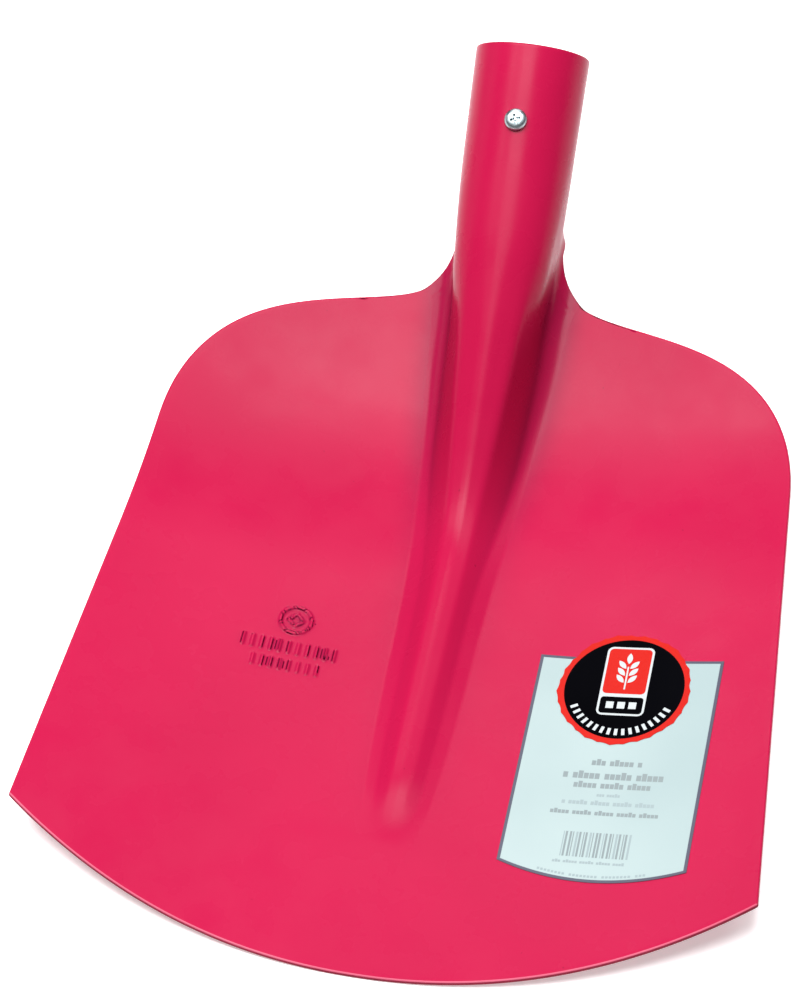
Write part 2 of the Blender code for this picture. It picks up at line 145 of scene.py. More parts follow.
# pressed stamp: a ring and a diamond over two rows of tallies
STAMP = (-50.5, 88.0)
STAMP_DEPTH = 0.75
STAMP_DEPTH_UNDER = 0.6
STAMP_HALF_WIDTH, STAMP_LOW, STAMP_HIGH = 22.0, -18.0, 20.0
LINE_FADE = 0.35
RING_UP, RING_RADIUS, RING_HALF_WIDTH = 9.0, 5.6, 0.55
DIAMOND_RADIUS, DIAMOND_HALF_WIDTH = 2.7, 0.45
TALLY_PITCH = 3.3
TALLY_ROWS = ((11, -16.5, -5.2, -0.6, 0.5), (8, -11.6, -12.6, -8.6, 0.45))

# stickers: centres, sizes, and heights above the blade
LABEL = (71.0, 54.7)
LABEL_SIZE = (65.0, 86.5)
LABEL_BOW = 6.0
LABEL_BORDER = 1.1
LABEL_LIFT = 0.16
SEAL = (70.3, 85.2)
SEAL_RADIUS = 23.3
SEAL_FIELD_RINGS = (0.6, 3.0, 6.0, 9.0, 12.0, 15.0, 18.0)
SEAL_FIELD, SEAL_BAND = 21.1, 22.2
SEAL_TEETH, SEAL_TOOTH, SEAL_TOOTH_TOP = 31.0, 0.42, 0.2
SEAL_WAVES = ((0.22, 5.0, 0.7), (0.16, 13.0, 0.0))
SEAL_UNDER, SEAL_LIFT, PANEL_LIFT, EMBLEM_LIFT = 0.05, 0.34, 0.37, 0.40
INK_SINK, INK_RISE = 0.04, 0.02

# prints: blocks for letters, bars, marks along the label's foot, dashes and grains on the seal
WORD_GAP, LETTER_PITCH, LOW_LETTER = 0.9, 1.16, 0.74
BARS_FROM, BARS_TO, BARS_LOW, BARS_HIGH, BAR_UNIT = -11.5, 11.2, -39.4, -29.4, 0.36
FOOT_MARKS, FOOT_MARK_FROM, FOOT_MARK_PITCH, FOOT_MARK_UP = 30, -18.2, 1.25, 2.3
FOOT_MARK_WIDTH, FOOT_MARK_RISE = 0.85, 0.45
DASHES, DASH_RADIUS, DASH_LENGTH, DASH_WIDTH = 17, 18.3, 2.7, 1.15
DASH_START, DASH_SWEEP = 207.0, 126.0
GRAIN_LEAN = 0.72

# finish: rounding of the sheet's edges, where its coats change to painted shade and painted highlight,
# and how far the painted shade in the gutters reaches
EDGE_ROUND, EDGE_ROUND_STEPS, EDGE_ROUND_FROM = 0.65, 3, 50.0
BORE_FROM, BORE_SHARE = 34.0, 0.9
RIM_DEPTH, RIM_FACING = 0.8, 0.3
EDGE_DEPTH, EDGE_WALL, EDGE_FLAT = 1.4, 0.45, 0.97
GUTTER_REACH = 15.0

# mesh density: (end, steps) stretches, rows and columns
SIDE_STRETCHES = ((0.54, 40), (0.77, 84), (1.0, 16))
SHOULDER_ROWS, FILLET_ROWS, NECK_ROWS, SOCKET_ROWS = 45, 18, 22, 14
RIB_COLUMNS = 26
WING_STRETCHES = ((1.0, 34),)
STAMPED_WING_STRETCHES = ((0.13, 6), (0.55, 84), (1.0, 16))
WELD_ROWS, WELD_TOP_STEPS, WELD_FOOT_STEPS = 200, 20, 4
SCREW_SEGMENTS, DRILL_SEGMENTS = 72, 48
LABEL_ACROSS, LABEL_ALONG = 40, 52
SEAL_POINTS = 384
BAR_CELL = 2.0
LOZENGE_STEPS, LOZENGE_POINT = 7, 0.98
CORNER_STEPS, BLOCK_ROWS, BLOCK_COLUMNS = 7, 6, 9

# solving the sheet's section
RIB_STEP, RIB_SHARES, RIB_HALVINGS, STEEPEST = 0.25, 60, 40, 1.56
SECTION_STEPS, ROUGH_STEPS = 150, 100
REACH_HALVINGS, WIDEST_REACH = 26, 220.0

MM = 0.001
FLOOR_GAP = 2.0
MID_Y = -EDGE_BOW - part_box("blade_and_socket")[0].y / MM


def to_frame(points):
    """Blade millimetres to frame metres."""
    points = np.asarray(points, float)
    return (points + np.array([0.0, -MID_Y, FLOOR_GAP])) * MM


# ---------------------------------------------------------------- the pressing, as a function

def smooth(value):
    """Step from 0 to 1 with flat ends."""
    value = np.clip(value, 0.0, 1.0)
    return value * value * (3.0 - 2.0 * value)


def soft_ramp(value, softness):
    """Zero below 0 and the value above, with a rounded corner."""
    return softness * np.logaddexp(0.0, value / softness)


AXIS = np.array([0.0, math.cos(SOCKET_LIFT), math.sin(SOCKET_LIFT)])
FRONT = np.array([0.0, -math.sin(SOCKET_LIFT), math.cos(SOCKET_LIFT)])
SIDE = np.array([1.0, 0.0, 0.0])
SOCKET_FOOT = np.array([0.0, SOCKET_Y, SOCKET_Z])
SOCKET_GROW = (SOCKET_RADII[1] - SOCKET_RADII[0]) / SOCKET_LENGTH


def blade_height(x, y):
    heel = HEEL_RISE * (np.maximum(0.0, y - HEEL_START) / HEEL_RUN) ** 2
    return (DISH_FRONT + DISH_GAIN * y) * (x / DISH_AT) ** 2 + heel


def wing_slope(x, y):
    return np.arctan(2.0 * (DISH_FRONT + DISH_GAIN * y) * x / DISH_AT ** 2)


def on_blade(x, y, lift=0.0):
    """Point a little above the blade's upper face."""
    x, y = np.broadcast_arrays(np.asarray(x, float), np.asarray(y, float))
    slope = wing_slope(x, y)
    heel = 2.0 * HEEL_RISE * np.maximum(0.0, y - HEEL_START) / HEEL_RUN ** 2
    normal = np.stack([-np.tan(slope), -heel, np.ones_like(x)], -1)
    normal /= np.linalg.norm(normal, axis=-1, keepdims=True)
    return np.stack([x, y, blade_height(x, y)], -1) + lift * normal


def socket_radius(station):
    return SOCKET_RADII[0] + SOCKET_GROW * station


def socket_point(turn, station, lift=0.0):
    """Point of the socket's outer face; turn 0 is its front line, pi its seam."""
    turn, station, lift = np.broadcast_arrays(*(np.asarray(v, float) for v in (turn, station, lift)))
    out = np.sin(turn)[..., None] * SIDE + np.cos(turn)[..., None] * FRONT
    radius = (socket_radius(station) + lift)[..., None]
    return SOCKET_FOOT + station[..., None] * AXIS + radius * out


def socket_station(turn, y):
    lean = np.cos(turn) * math.sin(SOCKET_LIFT)
    return (y - SOCKET_Y + SOCKET_RADII[0] * lean) / (math.cos(SOCKET_LIFT) - SOCKET_GROW * lean)


def crest_height(y):
    front = socket_point(np.zeros_like(y), socket_station(0.0, y))[..., 2]
    rib = (RIB_HEIGHT + RIB_SLOPE * (y - RIB_START)) * smooth((y - RIB_START) / RIB_RUN_OUT)
    return rib + soft_ramp(front - rib, RIB_BEND)


def rib_half_width(y):
    run = np.maximum(0.0, y - RIB_START) / RIB_WIDTH_RUN
    width = RIB_WIDTH_START + RIB_WIDTH_GAIN * (1.0 - np.exp(-run))
    return width + RIB_FLARE * soft_ramp(y - RIB_FLARE_Y, RIB_FLARE_BEND)


def flank(share, y):
    """How far the rib's flank is turned down, 0 to 1, from crest to foot."""
    steep = smooth((y - STEEP_FROM_Y) / STEEP_RUN)
    rounding = smooth((y - ROUND_FROM_Y) / ROUND_RUN)
    toe = TOE_LOW + TOE_GAIN * steep
    gentle = GENTLE_LOW - GENTLE_LOSS * steep
    roof = ROOF_TURN * smooth(share / ROOF_END)
    roof = roof + BROW_TURN * smooth((share - BROW_START) / BROW_RUN)
    pressed = roof - (1.0 - gentle) * smooth((share - toe) / TOE_RUN)
    pressed = pressed - gentle * smooth((share - CREASE_START) / CREASE_RUN)
    foot = 1.0 - smooth((share - ROUND_FOOT) / ROUND_FOOT_RUN)
    rolled = np.where(share < ROUND_TOP, share / ROUND_TOP, foot)
    return pressed * (1.0 - rounding) + rolled * rounding


def rib_table():
    """Steepest angle and developed half width of the rib, for every y."""
    y = np.arange(-EDGE_BOW - 2.0, CLOSE_END + 4.0, RIB_STEP)
    width = rib_half_width(y)
    lift = NECK_LIFT * smooth((y - NECK_LIFT_Y) / NECK_LIFT_RUN)
    drop = crest_height(y) - blade_height(width, y) - lift
    slope = wing_slope(width, y)
    share = ((np.arange(RIB_SHARES) + 0.5) / RIB_SHARES)[:, None]
    shape, fade = flank(share, y), slope * smooth(2.0 * share - 1.0)
    low, high = np.zeros_like(y), np.full_like(y, STEEPEST)
    for _ in range(RIB_HALVINGS):
        angle = 0.5 * (low + high)
        turn = angle * shape - fade
        run, fall = np.cos(turn).sum(0), np.sin(turn).sum(0)
        short = width * fall / run < drop
        low, high = np.where(short, angle, low), np.where(short, high, angle)
    return y, angle, width * RIB_SHARES / run, slope


RIB_Y, RIB_ANGLE, RIB_SPAN, RIB_FADE = rib_table()


def rib_span(y):
    return np.interp(y, RIB_Y, RIB_SPAN)


def pressed_point(reach, y, steps=SECTION_STEPS):
    """Point at a developed distance from the crest, on the open pressing."""
    angle, span, slope = (np.interp(y, RIB_Y, t) for t in (RIB_ANGLE, RIB_SPAN, RIB_FADE))
    x, z = np.zeros_like(reach), crest_height(y)
    step = reach / steps
    for k in range(steps):
        share = (k + 0.5) * step / span
        on_rib = angle * flank(share, y) - slope * smooth(2.0 * share - 1.0)
        turn = np.where(share < 1.0, on_rib, -wing_slope(x, y))
        x = x + step * np.cos(turn)
        z = z - step * np.sin(turn)
    return np.stack([x, y, z], -1)


def rolled_length(y):
    """About half the girth of the closed socket's slanted section at y."""
    radius = socket_radius(socket_station(0.5 * math.pi, y))
    return 0.5 * math.pi * radius * (1.0 + 1.0 / math.cos(SOCKET_LIFT))


def sheet_point(reach, y):
    """Point of the sheet's outer face, between the open pressing and the closed socket."""
    closing = smooth((y - CLOSE_START) / (CLOSE_END - CLOSE_START))[..., None]
    turn = np.minimum(math.pi, math.pi * reach / rolled_length(y))
    rolled = socket_point(turn, socket_station(turn, y))
    return pressed_point(reach, y) * (1.0 - closing) + rolled * closing


def reach_of(x, y):
    """Developed distance from the crest at which the open pressing gets to x."""
    x, y = np.atleast_1d(np.asarray(x, float)), np.atleast_1d(np.asarray(y, float))
    low, high = np.zeros_like(x), np.full_like(x, WIDEST_REACH)
    for _ in range(REACH_HALVINGS):
        reach = 0.5 * (low + high)
        short = pressed_point(reach, y, ROUGH_STEPS)[..., 0] < x
        low, high = np.where(short, reach, low), np.where(short, high, reach)
    return reach


def bezier(points, t):
    a, b, c, d = (np.asarray(p, float) for p in points)
    t = np.asarray(t)[:, None]
    s = 1.0 - t
    return s ** 3 * a + 3 * s * s * t * b + 3 * s * t * t * c + t ** 3 * d


NECK_FOOT = float(reach_of(*NECK)[0]) - NECK_TRIM


def neck_reach(y):
    """Developed half width of the neck, up to the closed seam."""
    radius = socket_radius(socket_station(math.pi, y))
    closed = rolled_length(y) * (1.0 - 0.5 * SEAM_GAP / (math.pi * radius))
    return NECK_FOOT + (closed - NECK_FOOT) * smooth((y - SEAM_FROM_Y) / SEAM_RUN)


# ---------------------------------------------------------------- the stamped mark

def soft_line(gap, half_width):
    """0 to 1 height of a soft-edged raised line, by distance from its middle."""
    return smooth((half_width + LINE_FADE - gap) / (2.0 * LINE_FADE))


def stroke(a, b, start, end, half_width):
    """Height of a straight line between two points."""
    ax, ay = start
    dx, dy = end[0] - ax, end[1] - ay
    along = np.clip(((a - ax) * dx + (b - ay) * dy) / (dx * dx + dy * dy), 0.0, 1.0)
    return soft_line(np.hypot(a - ax - along * dx, b - ay - along * dy), half_width)


def stamp_relief(x, y):
    """Depth of the stamped mark, 0 to 1: a ringed diamond over two rows of plain tallies."""
    a, b = x - STAMP[0], y - STAMP[1]
    inside = (np.abs(a) < STAMP_HALF_WIDTH) & (b > STAMP_LOW) & (b < STAMP_HIGH)
    height = np.zeros_like(x)
    a, b = a[inside], b[inside]
    marks = soft_line(np.abs(np.hypot(a, b - RING_UP) - RING_RADIUS), RING_HALF_WIDTH)
    corners = [(DIAMOND_RADIUS * math.sin(0.5 * math.pi * k),
                RING_UP + DIAMOND_RADIUS * math.cos(0.5 * math.pi * k)) for k in range(5)]
    for corner, after in zip(corners, corners[1:]):
        marks = np.maximum(marks, stroke(a, b, corner, after, DIAMOND_HALF_WIDTH))
    for count, first, foot, top, half_width in TALLY_ROWS:
        for k in range(count):
            column = first + TALLY_PITCH * k
            marks = np.maximum(marks, stroke(a, b, (column, foot), (column, top), half_width))
    height[inside] = marks
    return height


# ---------------------------------------------------------------- mesh helpers

def quads(rows, columns, closed=False, start=0):
    """Quad corner numbers of a grid of rows by columns points."""
    j, i = np.meshgrid(np.arange(rows - 1), np.arange(columns if closed else columns - 1), indexing="ij")
    k = (i + 1) % columns
    corners = [j * columns + i, j * columns + k, (j + 1) * columns + k, (j + 1) * columns + i]
    return (np.stack(corners, -1).reshape(-1, 4) + start).tolist()


def border(index):
    """Point numbers round the outside of a grid of point numbers."""
    return np.concatenate([index[0, :-1], index[:-1, -1], index[-1, :0:-1], index[:0:-1, 0]])


def walls(rim, count):
    """Quads from a closed row of points to the same row in the layer count points on."""
    after = np.roll(rim, -1)
    return np.stack([rim, after, after + count, rim + count], -1).tolist()


def piece(name, points, faces, materials, body="shovel", smooth_faces=True):
    """A mesh object in the frame, riding on a body, with its faces turned outwards."""
    mesh = bpy.data.meshes.new(name)
    mesh.from_pydata(to_frame(points).tolist(), [], faces)
    bm = bmesh.new()
    bm.from_mesh(mesh)
    bmesh.ops.recalc_face_normals(bm, faces=bm.faces)
    bm.to_mesh(mesh)
    bm.free()
    mesh.polygons.foreach_set("use_smooth", [smooth_faces] * len(mesh.polygons))
    thing = bpy.data.objects.new(name, mesh)
    bpy.context.scene.collection.objects.link(thing)
    for skin in materials:
        mesh.materials.append(skin)
    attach(thing, body)
    return thing


def bake(thing):
    """Turn an object's modifiers into its mesh."""
    bpy.context.view_layer.update()
    graph = bpy.context.evaluated_depsgraph_get()
    mesh = bpy.data.meshes.new_from_object(thing.evaluated_get(graph))
    thing.modifiers.clear()
    thing.data = mesh


def cut(thing, tool):
    """Take a tool's shape out of an object and remove the tool."""
    boolean = thing.modifiers.new("cut", "BOOLEAN")
    boolean.operation = "DIFFERENCE"
    boolean.solver = "EXACT"
    boolean.object = tool
    bake(thing)
    bpy.data.objects.remove(tool)


def soften(thing):
    """Round an object's sharp edges."""
    bevel = thing.modifiers.new("rounded_edges", "BEVEL")
    bevel.width = EDGE_ROUND * MM
    bevel.segments = EDGE_ROUND_STEPS
    bevel.use_clamp_overlap = False
    bevel.limit_method = "ANGLE"
    bevel.angle_limit = math.radians(EDGE_ROUND_FROM)
    even = thing.modifiers.new("even_normals", "WEIGHTED_NORMAL")
    even.keep_sharp = False
    bake(thing)


# ---------------------------------------------------------------- materials

# painted shade in the hollows: the ambient-occlusion range over which it sets in, and the most it
# darkens the enamel
OPEN_GROUND, DEEP_HOLLOW, MOST_HOLLOW_SHADE = 0.985, 0.70, 0.85
ENAMEL_GLOSS = 0.078
NIB_SHADE = 0.55
FLOOR_GLOW = 0.45


class Nodes:
    """A material's node tree with short ways to add and join nodes."""

    def __init__(self, name):
        self.material = bpy.data.materials.new(name)
        self.material.use_nodes = True
        self.tree = self.material.node_tree
        self.shader = self.tree.nodes["Principled BSDF"]
        self.place = self.add("ShaderNodeTexCoord").outputs["Object"]

    def add(self, kind, **settings):
        node = self.tree.nodes.new(kind)
        for key, value in settings.items():
            setattr(node, key, value)
        return node

    def join(self, source, target):
        self.tree.links.new(source, target)

    def noise(self, scale, detail):
        node = self.add("ShaderNodeTexNoise")
        node.inputs["Scale"].default_value = scale
        node.inputs["Detail"].default_value = detail
        self.join(self.place, node.inputs["Vector"])
        return node.outputs["Fac"]

    def hollow(self, reach):
        """How deep a point lies in the hollows, from 0 on open ground to 1, as its share of painted
        shade.
        """
        node = self.add("ShaderNodeAmbientOcclusion", samples=12, only_local=True)
        node.inputs["Distance"].default_value = reach * MM
        return self.between(node.outputs["AO"], OPEN_GROUND, DEEP_HOLLOW, 0.0, MOST_HOLLOW_SHADE)

    def between(self, value, low, high, to_low, to_high):
        node = self.add("ShaderNodeMapRange")
        for key, number in (("From Min", low), ("From Max", high),
                            ("To Min", to_low), ("To Max", to_high)):
            node.inputs[key].default_value = number
        self.join(value, node.inputs["Value"])
        return node.outputs["Result"]

    def mix(self, factor, first, second):
        node = self.add("ShaderNodeMix", data_type="RGBA")
        a, b = node.inputs[6], node.inputs[7]
        for socket, value in ((a, first), (b, second)):
            if isinstance(value, tuple):
                socket.default_value = (*value, 1.0)
            else:
                self.join(value, socket)
        self.join(factor, node.inputs[0])
        return node.outputs[2]

    def bump(self, *layers):
        """Bump from (height, distance in mm) layers, the coarsest first."""
        normal = None
        for height, distance in layers:
            node = self.add("ShaderNodeBump")
            node.inputs["Distance"].default_value = distance * MM
            self.join(height, node.inputs["Height"])
            if normal:
                self.join(normal, node.inputs["Normal"])
            normal = node.outputs["Normal"]
        self.join(normal, self.shader.inputs["Normal"])

    def set(self, **values):
        for key, value in values.items():
            self.shader.inputs[key.replace("_", " ")].default_value = value


def enamel(name, colour, shade, hollow_shade, roughness):
    """Stoved enamel on steel: orange peel, a few dust nibs, uneven gloss, and painted shade in hollows,
    partly enamel pooled darker there.
    """
    n = Nodes(name)
    tone = n.mix(n.between(n.noise(9.0, 3.0), 0.35, 0.65, 0.0, 1.0), colour, shade)
    nib = n.between(n.noise(420.0, 1.0), 0.80, 0.84, 0.0, 0.75)
    tone = n.mix(nib, tone, tuple(NIB_SHADE * c for c in shade))
    # painted shade: the base colour is mixed toward a dark purple in the gutters and other hollows
    n.join(n.mix(n.hollow(GUTTER_REACH), tone, hollow_shade), n.shader.inputs["Base Color"])
    n.join(n.between(n.noise(60.0, 4.0), 0.3, 0.7, roughness - 0.04, roughness + 0.06),
           n.shader.inputs["Roughness"])
    n.bump((n.noise(35.0, 2.0), 0.06), (n.noise(480.0, 2.0), 0.010))
    n.set(Specular_IOR_Level=ENAMEL_GLOSS)
    return n.material


def zinc(name):
    """Bright zinc plating with patches of slightly different tone."""
    n = Nodes(name)
    patch = n.noise(500.0, 3.0)
    n.join(n.mix(n.between(patch, 0.35, 0.65, 0.0, 1.0), (0.30, 0.36, 0.38), (0.42, 0.48, 0.50)),
           n.shader.inputs["Base Color"])
    n.join(n.between(n.noise(900.0, 3.0), 0.3, 0.7, 0.30, 0.46), n.shader.inputs["Roughness"])
    n.bump((n.noise(1500.0, 2.0), 0.01))
    n.set(Metallic=1.0)
    return n.material


def paper(name, colour, shade, roughness=0.42, gloss=0.3):
    """Coated sticker stock, faintly fibrous and not quite evenly white."""
    n = Nodes(name)
    tone = n.between(n.noise(13.0, 2.0), 0.3, 0.7, 0.0, 1.0)
    n.join(n.mix(tone, colour, shade), n.shader.inputs["Base Color"])
    n.join(n.between(n.noise(700.0, 3.0), 0.3, 0.7, roughness - 0.05, roughness + 0.08),
           n.shader.inputs["Roughness"])
    n.bump((n.noise(60.0, 2.0), 0.05), (n.noise(1800.0, 3.0), 0.004))
    n.set(Specular_IOR_Level=gloss)
    return n.material


def floor_card(name):
    """Pale studio card that glows a little."""
    n = Nodes(name)
    tone = n.mix(n.noise(3.0, 3.0), (0.72, 0.72, 0.72), (0.76, 0.76, 0.76))
    n.join(tone, n.shader.inputs["Base Color"])
    n.set(Roughness=0.75, Specular_IOR_Level=0.2)
    n.set(Emission_Color=(1.0, 1.0, 1.0, 1.0), Emission_Strength=FLOOR_GLOW)
    return n.material


# dark purple painted shade for the gutters and hollows, partly enamel pooled darker there
PAINTED_HOLLOW_SHADE = (0.150, 0.0060, 0.034)
RED = enamel("red_enamel", (0.352, 0.0054, 0.0430), (0.325, 0.0046, 0.0385), PAINTED_HOLLOW_SHADE, 0.27)
# darker, rougher enamel: painted shade in the bore, on the mouth's rim and on the cutting edge's wall,
# on a thinner coat
RED_PAINTED_SHADE = enamel("red_enamel_painted_shade", (0.25, 0.006, 0.030), (0.18, 0.005, 0.022), PAINTED_HOLLOW_SHADE, 0.55)
# pale pink enamel: a painted highlight along the cutting edge's bevel
RED_PAINTED_HIGHLIGHT = enamel("red_enamel_painted_highlight", (0.50, 0.105, 0.165), (0.46, 0.070, 0.125), PAINTED_HOLLOW_SHADE, 0.36)
WELD = enamel("red_enamel_weld", (0.32, 0.006, 0.038), (0.29, 0.005, 0.033), PAINTED_HOLLOW_SHADE, 0.36)
ZINC = zinc("bright_zinc")
PALE = paper("label_stock", (0.30, 0.37, 0.37), (0.24, 0.31, 0.315))
BORDER = paper("label_border_ink", (0.050, 0.050, 0.078), (0.042, 0.042, 0.068))
GREY = paper("label_grey_ink", (0.145, 0.180, 0.190), (0.165, 0.200, 0.205))
FAINT = paper("label_faint_ink", (0.195, 0.245, 0.255), (0.215, 0.270, 0.280))
BLACK = paper("seal_black_ink", (0.0010, 0.0010, 0.0014), (0.0018, 0.0018, 0.0026), 0.42, 0.0)
ORANGE = paper("seal_red_ink", (0.40, 0.0085, 0.0045), (0.37, 0.0070, 0.0035), 0.42, 0.08)
WHITE = paper("seal_white_ink", (0.40, 0.42, 0.43), (0.37, 0.40, 0.41), 0.42, 0.12)


# ---------------------------------------------------------------- the pressed sheet

def spread(stretches):
    """Numbers from 0 through (end, steps) stretches, without the last one's end."""
    made, start = [], 0.0
    for end, steps in stretches:
        made += [start + (end - start) * k / steps for k in range(steps)]
        start = end
    return np.array(made)


def sheet_rows():
    """Middle y, developed half width and side y of each row, up to the closed seam."""
    t = spread(SIDE_STRETCHES)
    x = EDGE_HALF_WIDTH + (SHOULDER[0] - EDGE_HALF_WIDTH) * t
    rows = [((SHOULDER_MIDDLE_Y + EDGE_BOW) * t - EDGE_BOW, x, SHOULDER[1] * t)]

    side = np.array([SHOULDER[0] - EDGE_HALF_WIDTH, SHOULDER[1]])
    pull = np.array(SHOULDER) + SHOULDER_PULLS[0] * side / np.linalg.norm(side)
    lead = np.array(NECK) + SHOULDER_PULLS[1] * np.array([math.cos(NECK_ANGLE), -math.sin(NECK_ANGLE)])
    t = np.linspace(0.0, 1.0, SHOULDER_ROWS)
    curve = bezier((SHOULDER, pull, lead, NECK), SHOULDER_SHARE * t)
    rows.append((SHOULDER_MIDDLE_Y + (NECK_MIDDLE_Y - SHOULDER_MIDDLE_Y) * t, curve[:, 0], curve[:, 1]))
    middle, x, y = (np.concatenate(column) for column in zip(*rows))
    width = reach_of(x, y)

    start = np.array([width[-1], y[-1]])
    along = start - np.array([width[-2], y[-2]])
    along /= np.linalg.norm(along)
    end = np.array([float(neck_reach(FILLET_END)), FILLET_END])
    handles = (start, start + FILLET_LEAD * along, end - np.array([0.0, FILLET_PULL]), end)
    t = np.linspace(0.0, 1.0, FILLET_ROWS + 1)[1:]
    curve = bezier(handles, t)
    high = np.linspace(FILLET_END, CLOSE_END, NECK_ROWS + 1)[1:]
    middle = np.concatenate([middle, NECK_MIDDLE_Y + (FILLET_END - NECK_MIDDLE_Y) * t, high])
    width = np.concatenate([width, curve[:, 0], neck_reach(high)])
    return middle, width, np.concatenate([y, curve[:, 1], high])


def half_sheet(wing_stretches):
    """Outer face of one half of the pressing, for x >= 0."""
    wing = np.append(spread(wing_stretches)[1:], 1.0)
    middle, width, side = sheet_rows()
    closing = smooth((middle - CLOSE_START) / (CLOSE_END - CLOSE_START))
    rib_share = RIB_COLUMNS / (RIB_COLUMNS + len(wing))
    foot = np.minimum(rib_span(middle), RIB_WIDTH_LIMIT * width)
    foot = foot + (rib_share * width - foot) * closing
    rib = np.arange(RIB_COLUMNS + 1) / RIB_COLUMNS
    beside = foot[:, None] + (width - foot)[:, None] * wing
    reach = np.concatenate([foot[:, None] * rib, beside], 1)
    share = (reach / width[:, None]) ** EDGE_POWER
    y = side[:, None] + (middle - side)[:, None] * (1.0 - share)
    blade = sheet_point(reach, y)

    turn = math.pi * reach[-1] / rolled_length(CLOSE_END)
    start = socket_station(turn, CLOSE_END)
    climb = (np.arange(1, SOCKET_ROWS + 1) / SOCKET_ROWS)[:, None]
    socket = socket_point(turn[None], start + (SOCKET_LENGTH - start) * climb)
    return np.concatenate([blade, socket])


def grid_normals(grid):
    """Outward unit normals of a grid of points."""
    across, along = np.gradient(grid, axis=1), np.gradient(grid, axis=0)
    normal = np.cross(across, along)
    return normal / np.linalg.norm(normal, axis=-1, keepdims=True)


def build_sheet():
    """The whole pressing: both halves, its thickness, the stamp, round edges and the screw's hole."""
    right = half_sheet(WING_STRETCHES)
    left = half_sheet(STAMPED_WING_STRETCHES) * np.array([-1.0, 1.0, 1.0])
    outer = np.concatenate([left[:, :0:-1], right], 1)
    normal = grid_normals(outer)
    inner = outer - SHEET * normal
    relief = STAMP_DEPTH * stamp_relief(outer[..., 0], outer[..., 1])[..., None]
    outer, inner = outer + relief * normal, inner + STAMP_DEPTH_UNDER * relief * normal

    rows, columns = outer.shape[:2]
    count = rows * columns
    faces = quads(rows, columns) + quads(rows, columns, start=count)
    faces += walls(border(np.arange(count).reshape(rows, columns)), count)
    points = np.concatenate([outer.reshape(-1, 3), inner.reshape(-1, 3)])
    sheet = piece("pressed_sheet", points, faces, [RED, RED_PAINTED_SHADE, RED_PAINTED_HIGHLIGHT])
    soften(sheet)
    cut(sheet, drill())
    return sheet


def screw_matrix():
    """Frame matrix of the screw's seat: Z runs out along the screw."""
    seat = to_frame(socket_point(0.0, SCREW_STATION))
    turned = Matrix(np.stack([SIDE, AXIS, FRONT], -1).tolist()).to_4x4()
    return Matrix.Translation(Vector(seat.tolist())) @ turned


def as_tool(name, bm):
    """A bmesh as an object that stands on the screw's axis, to cut others with."""
    mesh = bpy.data.meshes.new(name)
    bm.to_mesh(mesh)
    bm.free()
    tool = bpy.data.objects.new(name, mesh)
    bpy.context.scene.collection.objects.link(tool)
    tool.matrix_world = screw_matrix()
    return tool


def drill():
    bm = bmesh.new()
    bmesh.ops.create_cone(bm, cap_ends=True, segments=DRILL_SEGMENTS, depth=DRILL_LENGTH * MM,
                          radius1=SCREW_HOLE * MM, radius2=SCREW_HOLE * MM)
    return as_tool("drill", bm)


def coat(sheet):
    """Dull thin coat, darkened as painted shade, in the bore, on the mouth's rim and down the cutting
    edge's wall.

    The bevel above that wall gets a pale pink painted highlight.
    """
    foot = Vector(to_frame(SOCKET_FOOT).tolist())
    axis = Vector(AXIS.tolist())
    for face in sheet.data.polygons:
        arm = face.center - foot
        station = arm.dot(axis)
        inner = (socket_radius(station / MM) - BORE_SHARE * SHEET) * MM
        bore = station > BORE_FROM * MM and (arm - station * axis).length < inner
        rim = station > (SOCKET_LENGTH - RIM_DEPTH) * MM and face.normal.dot(axis) > RIM_FACING
        share = min(1.0, abs(face.center.x) / MM / EDGE_HALF_WIDTH)
        edge = -EDGE_BOW * (1.0 - share ** EDGE_POWER)
        at_edge = face.center.y / MM + MID_Y < edge + EDGE_DEPTH
        # bore, mouth rim and the cutting edge's wall get the darker painted shade
        if bore or rim or (at_edge and abs(face.normal.z) <= EDGE_WALL):
            face.material_index = 1
        # the bevel over the cutting edge gets the pale painted highlight
        elif at_edge and EDGE_WALL < face.normal.z < EDGE_FLAT:
            face.material_index = 2


# ---------------------------------------------------------------- weld and screw

def build_weld():
    """Rippled bead along the socket's seam, tapering off at both ends."""
    station = np.linspace(WELD_FROM, WELD_TO, WELD_ROWS)[:, None]
    end = np.minimum(station - WELD_FROM, WELD_TO - station) / WELD_TAPER
    size = np.sqrt(np.clip(end, WELD_END_SIZE, 1.0))
    back = np.linspace(1.0, -1.0, WELD_FOOT_STEPS + 2)[1:-1]
    side = np.concatenate([np.linspace(-1.0, 1.0, WELD_TOP_STEPS), back])[None]
    ring = WELD_TOP_STEPS + WELD_FOOT_STEPS
    on_top = (np.arange(ring) < WELD_TOP_STEPS)[None]
    ripple = np.sin(2.0 * math.pi * (station + RIPPLE_BOW * side ** 2) / RIPPLE_PITCH)
    sway = sum(wide * np.sin(pace * station + shift) for wide, pace, shift in WELD_SWAYS)
    swell = np.sqrt(np.maximum(0.0, 1.0 - side ** 2))
    top = size * (WELD_HEIGHT * swell + RIPPLE_HEIGHT * ripple * swell) - WELD_SINK
    lift = np.where(on_top, top, WELD_FOOT)
    across = size * (WELD_HALF_WIDTH + RIPPLE_WIDTH * ripple) * side + 0.5 * sway
    turn = math.pi - across / socket_radius(station)
    points = socket_point(turn, station, lift).reshape(-1, 3)
    faces = quads(WELD_ROWS, ring, closed=True)
    faces += [list(range(ring)), list(range((WELD_ROWS - 1) * ring, WELD_ROWS * ring))]
    return piece("weld_bead", points, faces, [WELD])


